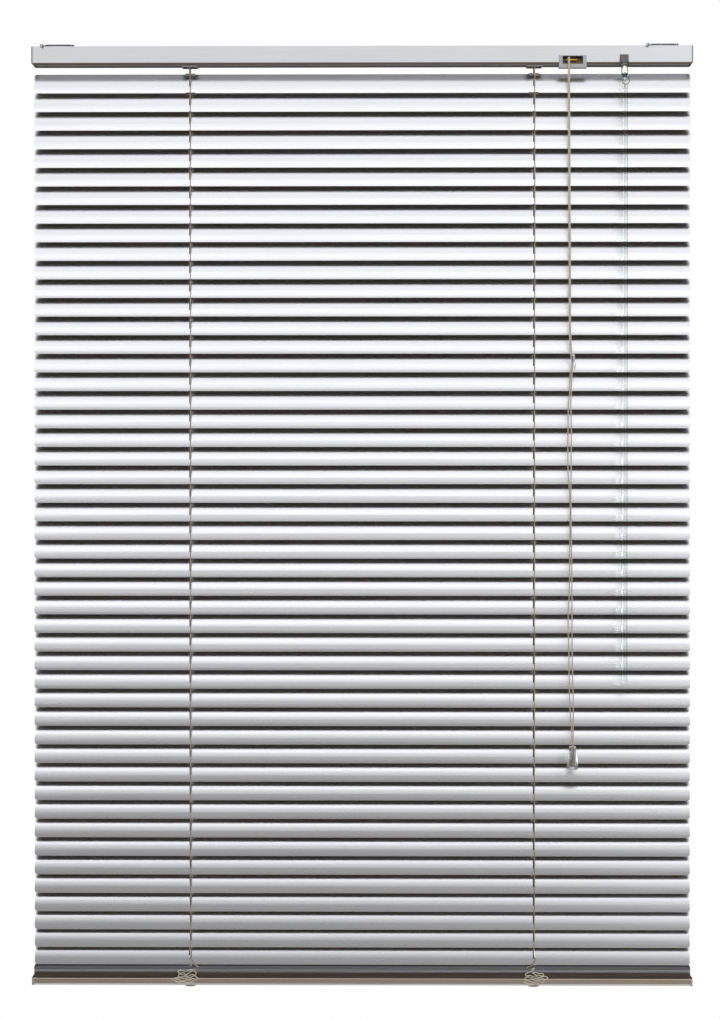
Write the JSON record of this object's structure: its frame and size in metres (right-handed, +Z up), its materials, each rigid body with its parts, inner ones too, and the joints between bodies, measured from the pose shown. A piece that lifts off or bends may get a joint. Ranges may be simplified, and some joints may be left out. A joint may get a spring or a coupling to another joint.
{
  "type": "venetian blind",
  "caption": "Venetian blind with narrow curved metal slats on two cord ladders, a boxed headrail, a clear tilt wand, a pull cord with a tassel and a bottom rail.",
  "frame": {"origin": "midway between the two brackets' screw holes, on the brackets' top faces", "axes": "+X along the headrail to the wand's side, +Y from the room towards the window, +Z up"},
  "size_m": [0.8008, 0.0423, 1.1422],
  "materials": {
    "lacquered_steel": "satin silver lacquer",
    "plastic_and_metal_fittings": "dark moulded plastic, steel caps, a clear lock and a brass roller",
    "bracket_steel": "zinc plated",
    "rod_steel": "drawn steel rod with dark plastic drums",
    "clear_plastic": "clear, glossy",
    "wand_plastic": "clear, glossy, with a bright steel hook",
    "cord": "braided polyester cord",
    "slat_aluminium": "satin silver lacquer",
    "bottom_rail_metal": "satin silver lacquer"
  },
  "bodies": {
    "root": {"headrail": "lacquered_steel", "headrail_fittings": "plastic_and_metal_fittings", "mounting_brackets": "bracket_steel", "lift_cords": "cord", "bottom_rail": "bottom_rail_metal", "pull_cord": "cord", "tassel": "clear_plastic"},
    "tilt_rod": {"tilt_rod": "rod_steel"},
    "tilter_stem": {"tilter_stem": "clear_plastic"},
    "wand": {"wand": "wand_plastic"},
    "ladder_front": {"ladder_front_cords": "cord"},
    "ladder_rear": {"ladder_rear_cords": "cord"},
    "slat_01": {"slat_01": "slat_aluminium"},
    "slat_02": {"slat_02": "slat_aluminium"},
    "slat_03": {"slat_03": "slat_aluminium"},
    "slat_04": {"slat_04": "slat_aluminium"},
    "slat_05": {"slat_05": "slat_aluminium"},
    "slat_06": {"slat_06": "slat_aluminium"},
    "slat_07": {"slat_07": "slat_aluminium"},
    "slat_08": {"slat_08": "slat_aluminium"},
    "slat_09": {"slat_09": "slat_aluminium"},
    "slat_10": {"slat_10": "slat_aluminium"},
    "slat_11": {"slat_11": "slat_aluminium"},
    "slat_12": {"slat_12": "slat_aluminium"},
    "slat_13": {"slat_13": "slat_aluminium"},
    "slat_14": {"slat_14": "slat_aluminium"},
    "slat_15": {"slat_15": "slat_aluminium"},
    "slat_16": {"slat_16": "slat_aluminium"},
    "slat_17": {"slat_17": "slat_aluminium"},
    "slat_18": {"slat_18": "slat_aluminium"},
    "slat_19": {"slat_19": "slat_aluminium"},
    "slat_20": {"slat_20": "slat_aluminium"},
    "slat_21": {"slat_21": "slat_aluminium"},
    "slat_22": {"slat_22": "slat_aluminium"},
    "slat_23": {"slat_23": "slat_aluminium"},
    "slat_24": {"slat_24": "slat_aluminium"},
    "slat_25": {"slat_25": "slat_aluminium"},
    "slat_26": {"slat_26": "slat_aluminium"},
    "slat_27": {"slat_27": "slat_aluminium"},
    "slat_28": {"slat_28": "slat_aluminium"},
    "slat_29": {"slat_29": "slat_aluminium"},
    "slat_30": {"slat_30": "slat_aluminium"},
    "slat_31": {"slat_31": "slat_aluminium"},
    "slat_32": {"slat_32": "slat_aluminium"},
    "slat_33": {"slat_33": "slat_aluminium"},
    "slat_34": {"slat_34": "slat_aluminium"},
    "slat_35": {"slat_35": "slat_aluminium"},
    "slat_36": {"slat_36": "slat_aluminium"},
    "slat_37": {"slat_37": "slat_aluminium"},
    "slat_38": {"slat_38": "slat_aluminium"},
    "slat_39": {"slat_39": "slat_aluminium"},
    "slat_40": {"slat_40": "slat_aluminium"},
    "slat_41": {"slat_41": "slat_aluminium"},
    "slat_42": {"slat_42": "slat_aluminium"},
    "slat_43": {"slat_43": "slat_aluminium"},
    "slat_44": {"slat_44": "slat_aluminium"},
    "slat_45": {"slat_45": "slat_aluminium"},
    "slat_46": {"slat_46": "slat_aluminium"},
    "slat_47": {"slat_47": "slat_aluminium"},
    "slat_48": {"slat_48": "slat_aluminium"}
  },
  "joints": [
    {"name": "tilt", "type": "hinge", "parent": "root", "child": "tilt_rod", "pos_m": [0, 0, -0.0134], "axis": [-1, 0, 0], "range_deg": [0, 204], "deforming": ["ladder_front_cords", "ladder_rear_cords"]},
    {"name": "slat_01_turn", "type": "hinge", "parent": "root", "child": "slat_01", "pos_m": [0, 0, -0.0453], "axis": [-1, 0, 0], "range_deg": [0, 135]},
    {"name": "slat_02_turn", "type": "hinge", "parent": "root", "child": "slat_02", "pos_m": [0, 0, -0.0679], "axis": [-1, 0, 0], "range_deg": [0, 135]},
    {"name": "slat_03_turn", "type": "hinge", "parent": "root", "child": "slat_03", "pos_m": [0, 0, -0.0905], "axis": [-1, 0, 0], "range_deg": [0, 135]},
    {"name": "slat_04_turn", "type": "hinge", "parent": "root", "child": "slat_04", "pos_m": [0, 0, -0.1131], "axis": [-1, 0, 0], "range_deg": [0, 135]},
    {"name": "slat_05_turn", "type": "hinge", "parent": "root", "child": "slat_05", "pos_m": [0, 0, -0.1357], "axis": [-1, 0, 0], "range_deg": [0, 135]},
    {"name": "slat_06_turn", "type": "hinge", "parent": "root", "child": "slat_06", "pos_m": [0, 0, -0.1583], "axis": [-1, 0, 0], "range_deg": [0, 135]},
    {"name": "slat_07_turn", "type": "hinge", "parent": "root", "child": "slat_07", "pos_m": [0, 0, -0.1809], "axis": [-1, 0, 0], "range_deg": [0, 135]},
    {"name": "slat_08_turn", "type": "hinge", "parent": "root", "child": "slat_08", "pos_m": [0, 0, -0.2035], "axis": [-1, 0, 0], "range_deg": [0, 135]},
    {"name": "slat_09_turn", "type": "hinge", "parent": "root", "child": "slat_09", "pos_m": [0, 0, -0.2261], "axis": [-1, 0, 0], "range_deg": [0, 135]},
    {"name": "slat_10_turn", "type": "hinge", "parent": "root", "child": "slat_10", "pos_m": [0, 0, -0.2487], "axis": [-1, 0, 0], "range_deg": [0, 135]},
    {"name": "slat_11_turn", "type": "hinge", "parent": "root", "child": "slat_11", "pos_m": [0, 0, -0.2713], "axis": [-1, 0, 0], "range_deg": [0, 135]},
    {"name": "slat_12_turn", "type": "hinge", "parent": "root", "child": "slat_12", "pos_m": [0, 0, -0.2939], "axis": [-1, 0, 0], "range_deg": [0, 135]},
    {"name": "slat_13_turn", "type": "hinge", "parent": "root", "child": "slat_13", "pos_m": [0, 0, -0.3165], "axis": [-1, 0, 0], "range_deg": [0, 135]},
    {"name": "slat_14_turn", "type": "hinge", "parent": "root", "child": "slat_14", "pos_m": [0, 0, -0.3391], "axis": [-1, 0, 0], "range_deg": [0, 135]},
    {"name": "slat_15_turn", "type": "hinge", "parent": "root", "child": "slat_15", "pos_m": [0, 0, -0.3617], "axis": [-1, 0, 0], "range_deg": [0, 135]},
    {"name": "slat_16_turn", "type": "hinge", "parent": "root", "child": "slat_16", "pos_m": [0, 0, -0.3843], "axis": [-1, 0, 0], "range_deg": [0, 135]},
    {"name": "slat_17_turn", "type": "hinge", "parent": "root", "child": "slat_17", "pos_m": [0, 0, -0.4069], "axis": [-1, 0, 0], "range_deg": [0, 135]},
    {"name": "slat_18_turn", "type": "hinge", "parent": "root", "child": "slat_18", "pos_m": [0, 0, -0.4295], "axis": [-1, 0, 0], "range_deg": [0, 135]},
    {"name": "slat_19_turn", "type": "hinge", "parent": "root", "child": "slat_19", "pos_m": [0, 0, -0.4521], "axis": [-1, 0, 0], "range_deg": [0, 135]},
    {"name": "slat_20_turn", "type": "hinge", "parent": "root", "child": "slat_20", "pos_m": [0, 0, -0.4747], "axis": [-1, 0, 0], "range_deg": [0, 135]},
    {"name": "slat_21_turn", "type": "hinge", "parent": "root", "child": "slat_21", "pos_m": [0, 0, -0.4973], "axis": [-1, 0, 0], "range_deg": [0, 135]},
    {"name": "slat_22_turn", "type": "hinge", "parent": "root", "child": "slat_22", "pos_m": [0, 0, -0.5199], "axis": [-1, 0, 0], "range_deg": [0, 135]},
    {"name": "slat_23_turn", "type": "hinge", "parent": "root", "child": "slat_23", "pos_m": [0, 0, -0.5425], "axis": [-1, 0, 0], "range_deg": [0, 135]},
    {"name": "slat_24_turn", "type": "hinge", "parent": "root", "child": "slat_24", "pos_m": [0, 0, -0.5651], "axis": [-1, 0, 0], "range_deg": [0, 135]},
    {"name": "slat_25_turn", "type": "hinge", "parent": "root", "child": "slat_25", "pos_m": [0, 0, -0.5877], "axis": [-1, 0, 0], "range_deg": [0, 135]},
    {"name": "slat_26_turn", "type": "hinge", "parent": "root", "child": "slat_26", "pos_m": [0, 0, -0.6103], "axis": [-1, 0, 0], "range_deg": [0, 135]},
    {"name": "slat_27_turn", "type": "hinge", "parent": "root", "child": "slat_27", "pos_m": [0, 0, -0.6329], "axis": [-1, 0, 0], "range_deg": [0, 135]},
    {"name": "slat_28_turn", "type": "hinge", "parent": "root", "child": "slat_28", "pos_m": [0, 0, -0.6555], "axis": [-1, 0, 0], "range_deg": [0, 135]},
    {"name": "slat_29_turn", "type": "hinge", "parent": "root", "child": "slat_29", "pos_m": [0, 0, -0.6781], "axis": [-1, 0, 0], "range_deg": [0, 135]},
    {"name": "slat_30_turn", "type": "hinge", "parent": "root", "child": "slat_30", "pos_m": [0, 0, -0.7007], "axis": [-1, 0, 0], "range_deg": [0, 135]},
    {"name": "slat_31_turn", "type": "hinge", "parent": "root", "child": "slat_31", "pos_m": [0, 0, -0.7233], "axis": [-1, 0, 0], "range_deg": [0, 135]},
    {"name": "slat_32_turn", "type": "hinge", "parent": "root", "child": "slat_32", "pos_m": [0, 0, -0.7459], "axis": [-1, 0, 0], "range_deg": [0, 135]},
    {"name": "slat_33_turn", "type": "hinge", "parent": "root", "child": "slat_33", "pos_m": [0, 0, -0.7685], "axis": [-1, 0, 0], "range_deg": [0, 135]},
    {"name": "slat_34_turn", "type": "hinge", "parent": "root", "child": "slat_34", "pos_m": [0, 0, -0.7911], "axis": [-1, 0, 0], "range_deg": [0, 135]},
    {"name": "slat_35_turn", "type": "hinge", "parent": "root", "child": "slat_35", "pos_m": [0, 0, -0.8137], "axis": [-1, 0, 0], "range_deg": [0, 135]},
    {"name": "slat_36_turn", "type": "hinge", "parent": "root", "child": "slat_36", "pos_m": [0, 0, -0.8363], "axis": [-1, 0, 0], "range_deg": [0, 135]},
    {"name": "slat_37_turn", "type": "hinge", "parent": "root", "child": "slat_37", "pos_m": [0, 0, -0.8589], "axis": [-1, 0, 0], "range_deg": [0, 135]},
    {"name": "slat_38_turn", "type": "hinge", "parent": "root", "child": "slat_38", "pos_m": [0, 0, -0.8815], "axis": [-1, 0, 0], "range_deg": [0, 135]},
    {"name": "slat_39_turn", "type": "hinge", "parent": "root", "child": "slat_39", "pos_m": [0, 0, -0.9041], "axis": [-1, 0, 0], "range_deg": [0, 135]},
    {"name": "slat_40_turn", "type": "hinge", "parent": "root", "child": "slat_40", "pos_m": [0, 0, -0.9267], "axis": [-1, 0, 0], "range_deg": [0, 135]},
    {"name": "slat_41_turn", "type": "hinge", "parent": "root", "child": "slat_41", "pos_m": [0, 0, -0.9493], "axis": [-1, 0, 0], "range_deg": [0, 135]},
    {"name": "slat_42_turn", "type": "hinge", "parent": "root", "child": "slat_42", "pos_m": [0, 0, -0.9719], "axis": [-1, 0, 0], "range_deg": [0, 135]},
    {"name": "slat_43_turn", "type": "hinge", "parent": "root", "child": "slat_43", "pos_m": [0, 0, -0.9945], "axis": [-1, 0, 0], "range_deg": [0, 135]},
    {"name": "slat_44_turn", "type": "hinge", "parent": "root", "child": "slat_44", "pos_m": [0, 0, -1.0171], "axis": [-1, 0, 0], "range_deg": [0, 135]},
    {"name": "slat_45_turn", "type": "hinge", "parent": "root", "child": "slat_45", "pos_m": [0, 0, -1.03949], "axis": [-1, 0, 0], "range_deg": [0, 135]},
    {"name": "slat_46_turn", "type": "hinge", "parent": "root", "child": "slat_46", "pos_m": [0, 0, -1.06145], "axis": [-1, 0, 0], "range_deg": [0, 135]},
    {"name": "slat_47_turn", "type": "hinge", "parent": "root", "child": "slat_47", "pos_m": [0, 0, -1.08299], "axis": [-1, 0, 0], "range_deg": [0, 135]},
    {"name": "slat_48_turn", "type": "hinge", "parent": "root", "child": "slat_48", "pos_m": [0, 0, -1.1041], "axis": [-1, 0, 0], "range_deg": [0, 135]},
    {"name": "ladder_front_swing", "type": "hinge", "parent": "slat_24", "child": "ladder_front", "pos_m": [0, -0.00483, -0.57912], "axis": [1, 0, 0], "range_deg": [0, 135]},
    {"name": "ladder_rear_swing", "type": "hinge", "parent": "slat_24", "child": "ladder_rear", "pos_m": [0, 0.00649, -0.55177], "axis": [1, 0, 0], "range_deg": [0, 135]},
    {"name": "worm_turn", "type": "hinge", "parent": "root", "child": "tilter_stem", "pos_m": [0.3168, -0.00689, -0.01019], "axis": [0, -0.4226, -0.9063], "range_deg": [0, 2448]},
    {"name": "wand_turn", "type": "hinge", "parent": "root", "child": "wand", "pos_m": [0.3168, -0.02164, -0.04182], "axis": [0, 0, -1], "range_deg": [0, 2448]}
  ],
  "couplings": [
    {"joint": "slat_01_turn", "follows": "tilt", "ratio": 0.66176},
    {"joint": "slat_02_turn", "follows": "tilt", "ratio": 0.66176},
    {"joint": "slat_03_turn", "follows": "tilt", "ratio": 0.66176},
    {"joint": "slat_04_turn", "follows": "tilt", "ratio": 0.66176},
    {"joint": "slat_05_turn", "follows": "tilt", "ratio": 0.66176},
    {"joint": "slat_06_turn", "follows": "tilt", "ratio": 0.66176},
    {"joint": "slat_07_turn", "follows": "tilt", "ratio": 0.66176},
    {"joint": "slat_08_turn", "follows": "tilt", "ratio": 0.66176},
    {"joint": "slat_09_turn", "follows": "tilt", "ratio": 0.66176},
    {"joint": "slat_10_turn", "follows": "tilt", "ratio": 0.66176},
    {"joint": "slat_11_turn", "follows": "tilt", "ratio": 0.66176},
    {"joint": "slat_12_turn", "follows": "tilt", "ratio": 0.66176},
    {"joint": "slat_13_turn", "follows": "tilt", "ratio": 0.66176},
    {"joint": "slat_14_turn", "follows": "tilt", "ratio": 0.66176},
    {"joint": "slat_15_turn", "follows": "tilt", "ratio": 0.66176},
    {"joint": "slat_16_turn", "follows": "tilt", "ratio": 0.66176},
    {"joint": "slat_17_turn", "follows": "tilt", "ratio": 0.66176},
    {"joint": "slat_18_turn", "follows": "tilt", "ratio": 0.66176},
    {"joint": "slat_19_turn", "follows": "tilt", "ratio": 0.66176},
    {"joint": "slat_20_turn", "follows": "tilt", "ratio": 0.66176},
    {"joint": "slat_21_turn", "follows": "tilt", "ratio": 0.66176},
    {"joint": "slat_22_turn", "follows": "tilt", "ratio": 0.66176},
    {"joint": "slat_23_turn", "follows": "tilt", "ratio": 0.66176},
    {"joint": "slat_24_turn", "follows": "tilt", "ratio": 0.66176},
    {"joint": "slat_25_turn", "follows": "tilt", "ratio": 0.66176},
    {"joint": "slat_26_turn", "follows": "tilt", "ratio": 0.66176},
    {"joint": "slat_27_turn", "follows": "tilt", "ratio": 0.66176},
    {"joint": "slat_28_turn", "follows": "tilt", "ratio": 0.66176},
    {"joint": "slat_29_turn", "follows": "tilt", "ratio": 0.66176},
    {"joint": "slat_30_turn", "follows": "tilt", "ratio": 0.66176},
    {"joint": "slat_31_turn", "follows": "tilt", "ratio": 0.66176},
    {"joint": "slat_32_turn", "follows": "tilt", "ratio": 0.66176},
    {"joint": "slat_33_turn", "follows": "tilt", "ratio": 0.66176},
    {"joint": "slat_34_turn", "follows": "tilt", "ratio": 0.66176},
    {"joint": "slat_35_turn", "follows": "tilt", "ratio": 0.66176},
    {"joint": "slat_36_turn", "follows": "tilt", "ratio": 0.66176},
    {"joint": "slat_37_turn", "follows": "tilt", "ratio": 0.66176},
    {"joint": "slat_38_turn", "follows": "tilt", "ratio": 0.66176},
    {"joint": "slat_39_turn", "follows": "tilt", "ratio": 0.66176},
    {"joint": "slat_40_turn", "follows": "tilt", "ratio": 0.66176},
    {"joint": "slat_41_turn", "follows": "tilt", "ratio": 0.66176},
    {"joint": "slat_42_turn", "follows": "tilt", "ratio": 0.66176},
    {"joint": "slat_43_turn", "follows": "tilt", "ratio": 0.66176},
    {"joint": "slat_44_turn", "follows": "tilt", "ratio": 0.66176},
    {"joint": "slat_45_turn", "follows": "tilt", "ratio": 0.66176},
    {"joint": "slat_46_turn", "follows": "tilt", "ratio": 0.66176},
    {"joint": "slat_47_turn", "follows": "tilt", "ratio": 0.66176},
    {"joint": "slat_48_turn", "follows": "tilt", "ratio": 0.66176},
    {"joint": "ladder_front_swing", "follows": "tilt", "ratio": 0.66176},
    {"joint": "ladder_rear_swing", "follows": "tilt", "ratio": 0.66176},
    {"joint": "worm_turn", "follows": "tilt", "ratio": 12},
    {"joint": "wand_turn", "follows": "tilt", "ratio": 12}
  ]
}
